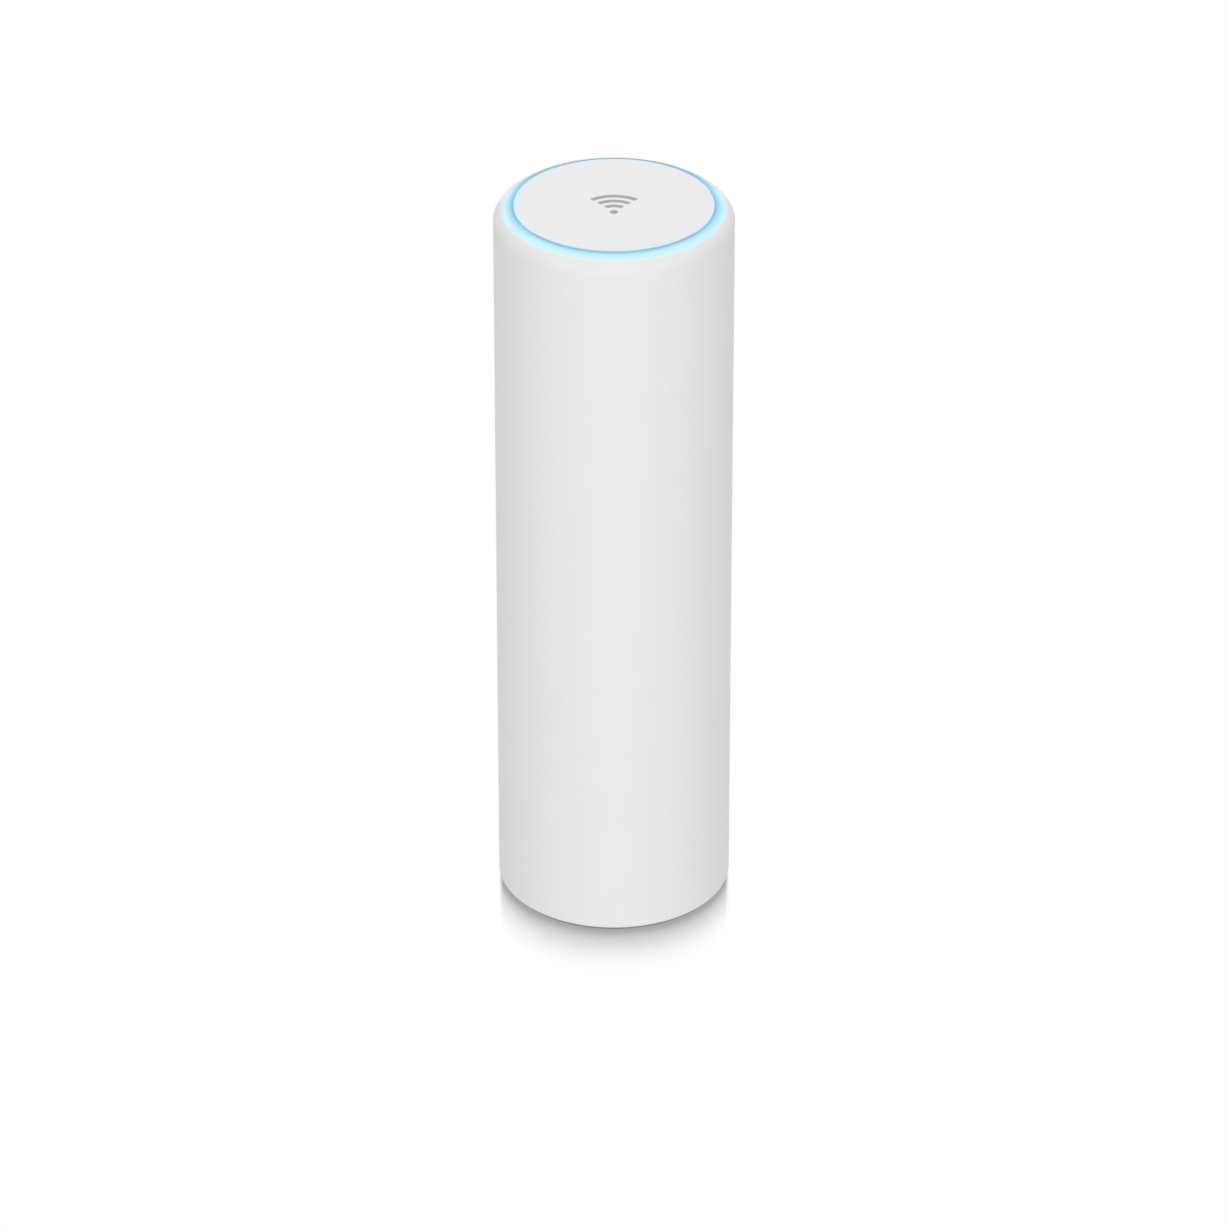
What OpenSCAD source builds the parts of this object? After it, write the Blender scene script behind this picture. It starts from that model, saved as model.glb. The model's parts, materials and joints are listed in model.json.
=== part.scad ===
// Mesh wifi node: a free-standing cylinder with a lit ring round its top cap.
// Millimetres. Origin at the centre of the resting plane, +Z up, -Y front, +Y rear, where the cable leaves.

/* [Body] */
// Outer diameter of the sleeve
body_d = 75; // [70:0.5:80]
// Overall height, from the resting plane to the cap's face
body_h = 244; // [226:1:270]
// Wall of the sleeve
wall = 2.2; // [1.8:0.1:2.5]
// Radius of the sleeve's rounded shoulder
shoulder_r = 4.4; // [3.8:0.1:6]
// Radius of the sleeve's rounded bottom edge
bottom_edge_r = 1.6; // [0.4:0.1:1.6]
// Thickness of the sleeve's lip over the light ring's flange
lip_t = 3.2; // [2.8:0.1:3.8]

/* [Top light] */
// Width of the sleeve's rim outside the light ring
rim_w = 3.2; // [3:0.1:4]
// Visible width of the light ring
ring_w = 3.1; // [2.4:0.1:3.6]
// How far the cap's face stands above the sleeve's crown
cap_rise = 1.1; // [0.7:0.1:1.6]
// Step from the cap's face down to the light ring
cap_lip = 0.55; // [0.3:0.05:0.9]
// Thickness of the cap's plate
cap_t = 2; // [1.6:0.1:2.6]
// Radius of the cap's rounded edge
cap_edge_r = 0.3; // [0.1:0.05:0.5]
// Thickness of the light ring's flange
flange_t = 1.5; // [1:0.1:2]
// Number of LEDs under the light ring
led_count = 12; // [8:1:16]
// Depth of the light box between the LED board and the light ring
light_box_h = 3.3; // [2.8:0.1:5]
// Thickness of the LED board
led_board_t = 1.2; // [0.8:0.1:1.6]

/* [Base] */
// Height of the rubber foot below the sleeve's bottom edge
foot_rise = 0.6; // [0.4:0.1:1.2]
// Thickness of the rubber foot
foot_t = 2; // [1.6:0.1:2.4]
// Width of the rubber foot
foot_w = 4; // [3:0.1:4.4]
// Thickness of the stand base's plate
base_t = 3.4; // [3:0.1:4]
// Diameter of the opening through the stand base
base_bore_d = 40; // [34:1:42]
// Pitch circle diameter of the screw holes in the stand base
base_holes_pcd = 49; // [48:0.5:50]
// Diameter of the screw holes in the stand base
base_hole_d = 4.2; // [3.2:0.1:4.4]
// Turn that frees the stand base from the chassis, in degrees
twist = 38; // [36:1:42]
// Height from the resting plane to the ceiling of the port bay
bay_h = 45.5; // [40:0.5:52]
// Width of the cable channel
cable_w = 7; // [6.4:0.1:7.6]
// Height of the cable channel above the resting plane
cable_h = 7.2; // [6.6:0.1:7.4]

/* [Electronics] */
// Clearance between the core's corners and the sleeve
core_clear = 3.7; // [3:0.1:5]
// Height of the main board
board_len = 126; // [112:1:136]
// Thickness of the main board
board_t = 1.6; // [1.2:0.1:2]
// Thickness of the heat sink's back plate
sink_t = 4; // [3.6:0.1:5]
// Number of heat sink fins
fin_count = 9; // [5:1:10]
// Thickness of one fin
fin_t = 1.6; // [1.2:0.1:2.2]
// Wall of the antenna drum
drum_t = 1.8; // [1.4:0.1:2.2]
// Clearance between the drum's flats and the sleeve
drum_clear = 7.3; // [6.6:0.1:8]
// Thickness of the antenna boards
antenna_t = 0.8; // [0.6:0.1:1.2]
// Diameter of the coaxial leads
lead_d = 1.2; // [1:0.1:1.4]
// Travel of the reset button
reset_travel = 0.5; // [0.3:0.05:0.7]

/* [Fits] */
// Clearance between pieces that are fixed together
gap = 0.1; // [0.05:0.01:0.15]
// Clearance round pieces that turn or are pushed in
run = 0.3; // [0.2:0.02:0.4]

/* [Hidden] */
$fn = 96;

// Colours
white = [0.93, 0.93, 0.93];
glow = [0.55, 0.85, 1];
green = [0.07, 0.32, 0.2];
steel = [0.75, 0.76, 0.78];
copper = [0.8, 0.5, 0.3];
black = [0.1, 0.1, 0.11];
grey = [0.45, 0.46, 0.48];

// Sleeve
body_r = body_d / 2;
inner_r = body_r - wall;
sleeve_z = foot_rise;
crown_z = body_h - cap_rise;
lip_z = crown_z - lip_t;
cap_r = body_r - rim_w - ring_w;
cap_z = body_h - cap_t;
ring_r = cap_r + ring_w;
shoulder_x = body_r - shoulder_r;
// Height of the shoulder's arc at the light ring's outer edge
ring_edge_z = crown_z - shoulder_r + sqrt(pow(shoulder_r, 2) - pow(max(0, ring_r - shoulder_x), 2));

// Light box
ring_z = lip_z - gap - flange_t;
ring_ledge = 1.8;
ring_in_r = cap_r - ring_ledge;
flange_r = inner_r - 2 * gap;
seal_r = 0.45;
ring_seal_z = lip_z + lip_t / 2;
led_w = 2;
led_l = 3;
led_h = 1.2;
lens_r = 0.8;
lens_t = 0.2;
led_seat_z = ring_z - light_box_h - led_board_t;
led_top_z = led_seat_z + led_board_t;
carrier_t = 2;
carrier_z = led_seat_z - carrier_t;
carrier_r = inner_r - run;
carrier_wall = 1.3;
led_board_out = carrier_r - carrier_wall - gap;
led_board_in = ring_in_r - 0.4;
led_pcd = led_board_in + led_board_out;
carrier_inner_wall = 1;
carrier_bore_r = 12;
cap_boss_r = 3;
cap_boss_at = cap_r - 9.2;
cap_boss_angles = [90, 210, 330];

// Screws: thread radius, hole radii and head sizes
m3 = 1.45;
m3_pilot = 1.5;
m3_pass = 1.7;
m3_head = 2.7;
m25 = 1.2;
m25_pilot = 1.25;
m25_pass = 1.4;
m25_head = 2.3;
head_h = 1.8;
m3_grip = 8;
m25_grip = 4.5;
pilot_end = 1;
screw_boss = 3.2;

screw_land = 1.6;
carrier_screw_at = led_board_in - gap - carrier_inner_wall - m25_head - screw_land;
carrier_boss_r = 2.6;
carrier_boss_h = m25_grip + pilot_end + 0.5;

// Chassis and port bay
ceil_t = 2.5;
ceil_top = bay_h + ceil_t;
chassis_wall = 1.5;
chassis_r = inner_r - 2 * gap;
bay_r = chassis_r - chassis_wall;
chassis_seal_z = bay_h - 5;
chassis_screw_at = bay_r - 3.6;
chassis_screw_angles = [90, 210, 330];
boss_len = 22;

// Stand base: plate, collar and three lugs that hook over the chassis's ledges
plate_z = foot_rise;
plate_top = plate_z + base_t;
plate_r = inner_r - run - gap;
chassis_z = plate_top + run;
ledge_t = 2.2;
ledge_z = cable_h + 0.6;
ledge_reach = 1.3;
ledge_r = bay_r - ledge_reach;
collar_t = 2;
collar_r = ledge_r - run;
lug_t = 2.1;
lug_z = ledge_z + ledge_t + run;
lug_r = bay_r - run;
lug_span = 30;
lug_angles = [30, 150, 270];
lug_play = 5;
ledge_gap = lug_span + 2 * lug_play;
stop_span = 3;
foot_r = collar_r - collar_t / 2;
countersink = 1.5;
dimple_r = 2.2;
dimple_len = 8;
dimple_depth = 1.2;

// Main board: its front face carries the jack, its rear face the heat sources
board_y = 5;
board_z = ceil_top + 0.6;
board_top = board_z + board_len;
board_rear = board_y + board_t;
standoff = 3;
sink_y = board_rear + standoff;
sink_mid = sink_y + sink_t / 2;
sink_z = ceil_top + 4;
sink_top = board_top + 2;
sink_w = 2 * sqrt(pow(inner_r - core_clear, 2) - pow(sink_y + sink_t, 2));
fin_z = ceil_top + boss_len + 2;
fin_r = inner_r - 1.4;
board_w = sink_w - 1;
board_hole_x = board_w / 2 - 4;
board_hole_z = [board_z + 14, board_top - 12];

// Jack: an 8P8C socket that opens downwards
jack_w = 16.2;
jack_d = 13.6;
jack_len = 21;
jack_z = bay_h - 0.2;
jack_mid = board_y - jack_d / 2;
jack_skin = 0.3;
socket_w = 11.8;
socket_d = 6.9;
socket_len = 13.5;
socket_y = jack_mid + 0.6;
latch_w = 6.2;
latch_d = 3.2;
pin_pitch = 1.02;
pin_w = 0.45;
seal_t = 1.4;

// Parts on the board's front face, stacked upwards from the jack: width, depth and height of each
part_gap = 5;
lan_size = [17, 5.6, 11];
lan_z = jack_z + jack_len + part_gap;
transformer_size = [18, 13, 14];
transformer_z = lan_z + lan_size[2] + part_gap;
transformer_x = -12;
core_leg = 3;
bobbin_foot = 2;
capacitor_d = 10;
capacitor_len = 12;
capacitor_seat = 1.2;
capacitor_x = [5, 17];
inductor_w = 10;
inductor_h = 3.6;
inductor_base = 1;
inductor_x = board_w / 2 - 9;
// Shield cans share the length that is left below the plugs
can_depth = 3.2;
can_t = 0.4;
can_w = board_w - 20;
can_z = transformer_z + transformer_size[2] + part_gap;
can_end = board_top - 16;
can_spacing = 4;
vent_r = 0.8;
can_h = (can_end - can_z - can_spacing) / 2;
can_bottoms = [can_z, can_z + can_h + can_spacing];
frontend_w = 4;
frontend_t = 0.9;
frontend_x = [-10, 0, 10];

// Chips on the rear face: centre x, middle height, width and height
chip_t = 1.2;
pad_t = 1;
processor_w = 19;
radio_w = 12;
memory_size = [9, 13];
memory_t = 1;
processor_z = can_bottoms[0] + can_h / 2;
memory_x = processor_w / 2 + memory_size[0] / 2 + 3;
processor_place = [0, processor_z, processor_w, processor_w];
memory_places = [for (s = [-1, 1]) [s * memory_x, processor_z, memory_size[0], memory_size[1]]];
radio_places = [
  [0, can_bottoms[1] + can_h / 2, radio_w, radio_w],
  [0, processor_z - (processor_w + radio_w) / 2 - part_gap, radio_w, radio_w]
];
hot_places = concat([processor_place], radio_places);

// Reset button and the switch that it presses
reset_x = 14.2;
reset_y = 1.2;
reset_r = 1.5;
reset_flange_r = 2.4;
reset_flange_t = 1;
stem_r = 0.9;
stem_z = ceil_top + reset_flange_t;
switch_z = stem_z + reset_travel + 0.6;
switch_w = 6;
switch_h = 5;
stem_in = 1.4;
stem_len = switch_z - stem_z + stem_in;

// Antenna drum: a six-sided tube whose flats carry one antenna board each
drum_z = sink_top;
drum_top = carrier_z;
drum_h = drum_top - drum_z;
drum_plate = 2;
drum_a = inner_r - drum_clear;
drum_bore_r = 20;
lead_gap_h = 26;
window_w = 13;
window_end = 10;
antenna_z = (drum_z + drum_top) / 2;
peg_r = 1;
peg_edge = 2.2;
trace_t = 0.2;
trace_w = 1.6;
// Antennas: face angle, board width and board height
long_board = [26, drum_h - 13.4];
short_board = [19, drum_h - 22];
antennas = [
  for (a = [270, 90]) [a, long_board[0], long_board[1]],
  for (a = [330, 210, 30, 150]) [a, short_board[0], short_board[1]]
];
// Screws between heat sink and drum, their heads just clear of the drum's wall
sink_screw_x = (drum_a - drum_t - m3_head - run - sink_mid * sin(30)) / cos(30);

// Leads: each runs from a plug on the main board to one antenna
plug_in = 10;
plug_step = 6;
plug_sides = [-1, 1, 1, -1, 1, -1];
plug_steps = [0, 0, 2, 2, 1, 1];
plug_x = [for (k = [0 : 5]) plug_sides[k] * (plug_in + plug_steps[k] * plug_step)];
plug_z = board_top - 5;
plug_r = 1.5;
plug_t = 1.6;
lead_y = board_y - plug_t / 2;
lead_sides = 6;
lead_steps = 5;

// Flat lead from the main board to the LED board
flex_w = 6;
flex_t = 0.3;
flex_bend = 1.8;
flex_y = board_y - 0.8;
flex_z = plug_z + 1.5;
flex_end = led_board_in + 1.4;

// ---------------------------------------------------------------- shared shapes

module tube(r_out, r_in, h) {
  difference() {
    cylinder(r = r_out, h = h);
    translate([0, 0, -1]) cylinder(r = r_in, h = h + 2);
  }
}

// Part of a ring between two angles
module arc_bar(r_in, r_out, z, h, from, span) {
  rotate([0, 0, from]) rotate_extrude(angle = span) translate([r_in, z]) square([r_out - r_in, h]);
}

// Box centred in x, from y0 to y0 + d and z0 to z0 + h
module block(x, y0, z0, w, d, h) {
  translate([x - w / 2, y0, z0]) cube([w, d, h]);
}

module around(radius, angles) {
  for (a = angles) rotate([0, 0, a]) translate([radius, 0, 0]) children();
}

// Pan-head screw: underside of the head at the origin, thread along -Z, cross recess in the head
module screw(r, len, head) {
  slot = 0.6;
  difference() {
    union() {
      translate([0, 0, -len]) cylinder(r = r, h = len);
      cylinder(r = head, h = head_h * 0.6);
      translate([0, 0, head_h * 0.6]) cylinder(r1 = head, r2 = head * 0.7, h = head_h * 0.4);
    }
    for (a = [0, 90]) rotate([0, 0, a])
      translate([-head * 0.6, -slot / 2, head_h * 0.4]) cube([head * 1.2, slot, head_h]);
  }
}

module screw_from_below(r, len, head) {
  rotate([180, 0, 0]) screw(r, len, head);
}

// Opening for the cable: straight sides and a round top, from the axis out to the rear
module cable_way(w, top) {
  translate([-w / 2, 0, -1]) cube([w, body_r + 2, top - w / 2 + 1]);
  translate([0, 0, top - w / 2]) rotate([-90, 0, 0]) cylinder(d = w, h = body_r + 2);
}

// ---------------------------------------------------------------- sleeve and top

module outer_sleeve() {
  color(white) difference() {
    union() {
      rotate_extrude() difference() {
        union() {
          translate([0, sleeve_z]) square([body_r - bottom_edge_r, crown_z - sleeve_z - shoulder_r]);
          translate([0, sleeve_z + bottom_edge_r])
            square([body_r, crown_z - shoulder_r - sleeve_z - bottom_edge_r]);
          translate([body_r - bottom_edge_r, sleeve_z + bottom_edge_r]) circle(bottom_edge_r);
          translate([0, crown_z - 2 * shoulder_r]) square([shoulder_x, 2 * shoulder_r]);
          translate([shoulder_x, crown_z - shoulder_r]) circle(shoulder_r);
        }
        translate([-1, 0]) square([inner_r + 1, lip_z]);
        translate([-1, 0]) square([ring_r + gap + 1, body_h]);
      }
      // Bosses for the chassis screws, each tied to the wall
      for (a = chassis_screw_angles) rotate([0, 0, a]) {
        translate([chassis_screw_at, 0, ceil_top]) cylinder(r = screw_boss, h = boss_len);
        translate([chassis_screw_at, -screw_boss / 2, ceil_top])
          cube([inner_r + wall / 2 - chassis_screw_at, screw_boss, boss_len]);
      }
    }
    translate([0, 0, ceil_top - 1]) around(chassis_screw_at, chassis_screw_angles)
      cylinder(r = m3_pilot, h = boss_len - 3);
    cable_way(cable_w + 1, cable_h + 0.2);
  }
}

module top_cap() {
  color(white) difference() {
    union() {
      rotate_extrude() {
        translate([0, cap_z]) square([cap_r, cap_t - cap_edge_r]);
        translate([0, cap_z]) square([cap_r - cap_edge_r, cap_t]);
        translate([cap_r - cap_edge_r, body_h - cap_edge_r]) circle(cap_edge_r);
      }
      // Skirt that centres the cap in the light ring
      translate([0, 0, ring_z]) tube(ring_in_r - gap, ring_in_r - 1.5, cap_z - ring_z + cap_t / 2);
      translate([0, 0, led_seat_z]) around(cap_boss_at, cap_boss_angles)
        cylinder(r = cap_boss_r, h = cap_z - led_seat_z + cap_t / 2);
    }
    translate([0, 0, led_seat_z - 1]) around(cap_boss_at, cap_boss_angles)
      cylinder(r = m25_pilot, h = cap_z - led_seat_z);
  }
}

module light_ring() {
  color(glow) rotate_extrude() difference() {
    polygon([
      [ring_in_r, ring_z], [flange_r, ring_z], [flange_r, ring_z + flange_t], [ring_r, ring_z + flange_t],
      [ring_r, ring_edge_z], [cap_r + gap, body_h - cap_lip], [cap_r + gap, cap_z], [ring_in_r, cap_z]
    ]);
    translate([ring_r + gap - 2 * seal_r, ring_seal_z - seal_r - gap])
      square([2 * seal_r, 2 * (seal_r + gap)]);
  }
}

module ring_seal() {
  color(black) rotate_extrude() translate([ring_r + gap - seal_r, ring_seal_z]) circle(seal_r - 0.01);
}

// White tray that forms the light box and carries the LED board
module led_carrier() {
  color(white) difference() {
    union() {
      translate([0, 0, carrier_z]) cylinder(r = carrier_r, h = carrier_t);
      translate([0, 0, led_seat_z]) tube(carrier_r, carrier_r - carrier_wall, ring_z - led_seat_z);
      translate([0, 0, led_seat_z]) tube(led_board_in - gap, led_board_in - gap - carrier_inner_wall,
        ring_z - led_seat_z - 1);
    }
    translate([0, 0, carrier_z - 1]) cylinder(r = carrier_bore_r, h = carrier_t + 2);
    translate([0, 0, carrier_z - 1]) {
      around(cap_boss_at, cap_boss_angles) cylinder(r = m25_pass, h = carrier_t + 2);
      around(carrier_screw_at, [0, 180]) cylinder(r = m25_pass, h = carrier_t + 2);
    }
    // Gap in the inner wall for the flat lead
    block(0, -led_board_in - 1, led_seat_z, flex_w + 2, 4, light_box_h + 5);
  }
}

module led_board() {
  color(green) translate([0, 0, led_seat_z]) tube(led_board_out, led_board_in, led_board_t);
}

module leds() {
  // Half a pitch off the flat lead's end
  start = 270 + 180 / led_count;
  for (i = [0 : led_count - 1]) rotate([0, 0, start + i * 360 / led_count])
    translate([led_pcd / 2, 0, led_top_z]) {
      color(white) block(0, -led_l / 2, 0, led_w, led_l, led_h - lens_t);
      color(glow) translate([0, 0, led_h - lens_t]) cylinder(r = lens_r, h = lens_t);
    }
}

module cap_screws() {
  color(steel) translate([0, 0, carrier_z]) around(cap_boss_at, cap_boss_angles)
    screw_from_below(m25, carrier_t + m25_grip, m25_head);
}

module carrier_screws() {
  color(steel) translate([0, 0, led_seat_z]) around(carrier_screw_at, [0, 180])
    screw(m25, carrier_t + m25_grip, m25_head);
}

// Flat lead: up the middle, over one bend and out to the LED board
module led_flex() {
  turn_y = flex_y - flex_t / 2 - flex_bend;
  turn_z = led_top_z - flex_bend;
  color([0.75, 0.45, 0.15]) translate([-flex_w / 2, 0, 0]) rotate([90, 0, 90]) linear_extrude(flex_w) {
    translate([flex_y - flex_t / 2, flex_z]) square([flex_t, turn_z - flex_z]);
    translate([-flex_end, led_top_z]) square([flex_end + turn_y, flex_t]);
    translate([turn_y, turn_z]) intersection() {
      difference() {
        circle(flex_bend + flex_t);
        circle(flex_bend);
      }
      square(flex_bend + flex_t);
    }
  }
}

module flex_connector() {
  w = flex_w + 3;
  h = 4;
  color(white) difference() {
    block(0, board_y - 1.6, flex_z - 2, w, 1.6, h);
    block(0, flex_y - flex_t / 2 - gap, flex_z - gap, flex_w + 2 * gap, flex_t + 2 * gap, h);
  }
}

// ---------------------------------------------------------------- antennas

// Local frame of one flat: x across, y outwards from the flat's outer face, z from the flat's middle
module at_flat(angle) {
  rotate([0, 0, angle - 90]) translate([0, drum_a, antenna_z]) children();
}

module peg_places(w, h) {
  for (z = [-1, 1]) translate([(w / 2 - peg_edge) * z, 0, z * (h / 2 - peg_edge)]) children();
}

module hexagon(a, z, h) {
  translate([0, 0, z]) cylinder(r = a / cos(30), h = h, $fn = 6);
}

module antenna_drum() {
  inside = drum_a - drum_t;
  color(grey) difference() {
    union() {
      difference() {
        hexagon(drum_a, drum_z, drum_h);
        hexagon(inside, drum_z + drum_plate, drum_h - 2 * drum_plate);
        translate([0, 0, drum_top - drum_plate - 1]) cylinder(r = drum_bore_r, h = drum_plate + 2);
      }
      translate([0, 0, drum_top - carrier_boss_h]) around(carrier_screw_at, [0, 180])
        cylinder(r = carrier_boss_r, h = carrier_boss_h);
      // Pegs that locate the antenna boards
      for (a = antennas) at_flat(a[0]) peg_places(a[1], a[2])
        translate([0, -drum_t / 2, 0]) rotate([-90, 0, 0])
          cylinder(r = peg_r, h = drum_t / 2 + antenna_t + 0.6);
    }
    // Way through the lower plate for the leads
    intersection() {
      hexagon(inside - 1, drum_z - 1, drum_plate + 2);
      block(0, board_rear - lead_gap_h, drum_z - 1, body_d, lead_gap_h, drum_plate + 2);
    }
    translate([0, 0, drum_top - drum_plate - 1]) around(cap_boss_at, cap_boss_angles)
      cylinder(r = screw_boss, h = drum_plate + 2);
    translate([0, 0, drum_top - carrier_boss_h - 1]) around(carrier_screw_at, [0, 180])
      cylinder(r = m25_pilot, h = carrier_boss_h + 2);
    for (x = [-1, 1]) translate([x * sink_screw_x, sink_mid, drum_z - 1])
      cylinder(r = m3_pass, h = drum_plate + 2);
    // Windows behind the boards
    for (a = antennas) rotate([0, 0, a[0] - 90])
      block(0, inside - 1, drum_z + window_end, window_w, drum_t + 2, drum_h - 2 * window_end);
  }
}

// One antenna board with its two peg holes
module antenna(k) {
  a = antennas[k];
  color([0.9, 0.88, 0.8]) at_flat(a[0]) difference() {
    block(0, 0, -a[2] / 2, a[1], antenna_t, a[2]);
    peg_places(a[1], a[2]) translate([0, -1, 0]) rotate([-90, 0, 0])
      cylinder(r = peg_r + gap, h = antenna_t + 2);
  }
}

// Printed radiators: a dipole with bent ends on each antenna board
module antenna_traces() {
  color(copper) for (a = antennas) at_flat(a[0]) {
    arm = a[2] * 0.35;
    foot = a[1] * 0.42;
    for (s = [-1, 1]) {
      block(s, antenna_t, s > 0 ? 0.5 : -arm - 0.5, trace_w, trace_t, arm);
      block(s * (1 - foot / 2 + trace_w / 2), antenna_t, s > 0 ? arm + 0.5 : -arm - trace_w - 0.5,
        foot, trace_t, trace_w);
    }
  }
}

// Points along a smooth curve through the route, n steps to a span
function on_span(a, b, c, d, t) =
  b + ((c - a) * t + (2 * a - 5 * b + 4 * c - d) * pow(t, 2) + (3 * b - a - 3 * c + d) * pow(t, 3)) / 2;
function smooth(p, n) = let (last = len(p) - 1) [
  for (i = [0 : last - 1], k = [0 : n - 1])
    on_span(p[max(0, i - 1)], p[i], p[i + 1], p[min(last, i + 2)], k / n),
  p[last]
];
function unit(v) = v / norm(v);
function heading(p, i) = unit(p[min(len(p) - 1, i + 1)] - p[max(0, i - 1)]);
function square_to(v, t) = unit(v - (v * t) * t);

// Round lead swept along the curve, its section carried from ring to ring without twist
module lead(route, r) {
  p = smooth(route, lead_steps);
  n = len(p);
  side = [
    for (i = 0, v = square_to([1, 0.2, 0], heading(p, 0)); i < n;
      i = i + 1, v = square_to(v, heading(p, min(i, n - 1)))) v
  ];
  rings = [
    for (i = [0 : n - 1], k = [0 : lead_sides - 1]) let (a = k * 360 / lead_sides)
      p[i] + r * (cos(a) * side[i] + sin(a) * cross(heading(p, i), side[i]))
  ];
  walls = [
    for (i = [0 : n - 2], k = [0 : lead_sides - 1]) let (b = i * lead_sides, j = (k + 1) % lead_sides)
      each [
        [b + k, b + lead_sides + k, b + j],
        [b + j, b + lead_sides + k, b + lead_sides + j]
      ]
  ];
  first = [for (k = [0 : lead_sides - 1]) k];
  last = [for (k = [lead_sides - 1 : -1 : 0]) (n - 1) * lead_sides + k];
  polyhedron(rings, concat([first], walls, [last]));
}

// From the plug up through the drum's plate, then out through a window to the board
function lead_route(k) =
  let (x = plug_x[k], a = antennas[k][0], feed = antenna_z - 6, out = [cos(a), sin(a), 0]) [
    [x, lead_y, plug_z + plug_r + gap / 2],
    [x, lead_y, drum_z - 1],
    [x * 0.9, lead_y - 3, drum_z + 7],
    out * (drum_a * 0.62) + [0, 0, feed - 6],
    out * (drum_a - 4) + [0, 0, feed - 1],
    out * (drum_a - gap) + [0, 0, feed]
  ];

module coax_leads() {
  color(black) for (k = [0 : len(antennas) - 1]) lead(lead_route(k), lead_d / 2);
}

module coax_plugs() {
  color([0.85, 0.7, 0.35]) for (x = plug_x) translate([x, board_y, plug_z]) rotate([90, 0, 0]) {
    cylinder(r = plug_r, h = plug_t);
    translate([-plug_r - 0.4, -plug_r - 0.4, 0]) cube([2 * plug_r + 0.8, 2 * plug_r + 0.3, 0.4]);
  }
}

module drum_screws() {
  color(steel) for (x = [-1, 1]) translate([x * sink_screw_x, sink_mid, drum_z + drum_plate])
    screw(m3, drum_plate + m3_grip, m3_head);
}

// ---------------------------------------------------------------- main board and heat sink

module board_holes(r, len) {
  for (x = [-board_hole_x, board_hole_x], z = board_hole_z)
    translate([x, 0, z]) rotate([-90, 0, 0]) cylinder(r = r, h = len);
}

module heat_sink() {
  color(steel) difference() {
    union() {
      block(0, sink_y, sink_z, sink_w, sink_t, sink_top - sink_z);
      intersection() {
        for (i = [0 : fin_count - 1]) {
          x = (i / (fin_count - 1) - 0.5) * (sink_w - fin_t);
          block(x, sink_y + sink_t / 2, fin_z, fin_t, body_r, sink_top - fin_z);
        }
        cylinder(r = fin_r, h = body_h);
      }
      translate([0, board_rear, 0]) board_holes(3, standoff + sink_t / 2);
      // Raised pads that reach down to the hot chips
      for (p = hot_places) on_rear(p, chip_t + pad_t, standoff);
    }
    translate([0, board_rear - 1, 0]) board_holes(m25_pilot, 1 + m25_grip + pilot_end);
    for (x = [-1, 1]) {
      translate([x * sink_screw_x, sink_mid, sink_z - 1])
        cylinder(r = m3_pilot, h = 1 + m3_grip + pilot_end);
      translate([x * sink_screw_x, sink_mid, sink_top - m3_grip - pilot_end])
        cylinder(r = m3_pilot, h = 1 + m3_grip + pilot_end);
    }
  }
}

module main_board() {
  color(green) difference() {
    block(0, board_y, board_z, board_w, board_t, board_len);
    translate([0, board_y - 1, 0]) board_holes(m25_pass, board_t + 2);
  }
}

module board_screws() {
  color(steel) translate([0, board_y, 0]) for (x = [-board_hole_x, board_hole_x], z = board_hole_z)
    translate([x, 0, z]) rotate([90, 0, 0]) screw(m25, board_t + m25_grip, m25_head);
}

// Block off the board's rear face: its place, its distance from the face and its thickness
module on_rear(p, off, t) {
  block(p[0], board_rear + off, p[1] - p[3] / 2, p[2], t, p[3]);
}

// Block on the board's front face: centre x, lower edge, and its width, depth and height
module on_front(x, z, size) {
  block(x, board_y - size[1], z, size[0], size[1], size[2]);
}

module processor() {
  color(black) on_rear(processor_place, 0, chip_t);
}

module memory_chips() {
  color(black) for (p = memory_places) on_rear(p, 0, memory_t);
}

module radio_chips() {
  color(black) for (p = radio_places) on_rear(p, 0, chip_t);
}

module thermal_pads() {
  color([0.6, 0.75, 0.85]) for (p = hot_places) on_rear(p, chip_t, pad_t);
}

// Pressed metal can over the radio parts, open towards the board, with two rows of vent holes
module shield_can(z) {
  color(steel) difference() {
    on_front(0, z, [can_w, can_depth, can_h]);
    block(0, board_y - can_depth + can_t, z + can_t, can_w - 2 * can_t, can_depth, can_h - 2 * can_t);
    for (x = [-0.3, 0, 0.3], k = [0.3, 0.7])
      translate([x * can_w, board_y - can_depth - 1, z + k * can_h]) rotate([-90, 0, 0])
        cylinder(r = vent_r, h = can_t + 2);
  }
}

// Front-end modules under the cans
module frontend_chips() {
  color(black) for (x = frontend_x, z = can_bottoms)
    on_front(x, z + (can_h - frontend_w) / 2, [frontend_w, frontend_t, frontend_w]);
}

// Power transformer: a ferrite frame round a wound bobbin
module transformer_core() {
  size = transformer_size;
  color(black) difference() {
    block(transformer_x, board_y - size[1], transformer_z, size[0], size[1] - bobbin_foot, size[2]);
    block(transformer_x, board_y - size[1] - 1, transformer_z + core_leg,
      size[0] - 2 * core_leg, size[1] + 1, size[2] - 2 * core_leg);
  }
}

module transformer_bobbin() {
  size = transformer_size;
  color([0.85, 0.65, 0.2]) {
    block(transformer_x, board_y - size[1] + 0.5, transformer_z + core_leg + gap,
      size[0] - 2 * (core_leg + gap), size[1] - 0.5, size[2] - 2 * (core_leg + gap));
    on_front(transformer_x, transformer_z, [size[0], bobbin_foot, size[2]]);
  }
}

module lan_transformer() {
  color(black) on_front(0, lan_z, lan_size);
}

module bulk_capacitors() {
  middle = transformer_z + transformer_size[2] / 2;
  for (x = capacitor_x) translate([x, board_y, middle]) rotate([90, 0, 0]) {
    color(black) cylinder(d = capacitor_d + 0.4, h = capacitor_seat);
    color(steel) translate([0, 0, capacitor_seat]) cylinder(d = capacitor_d, h = capacitor_len);
  }
}

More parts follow.
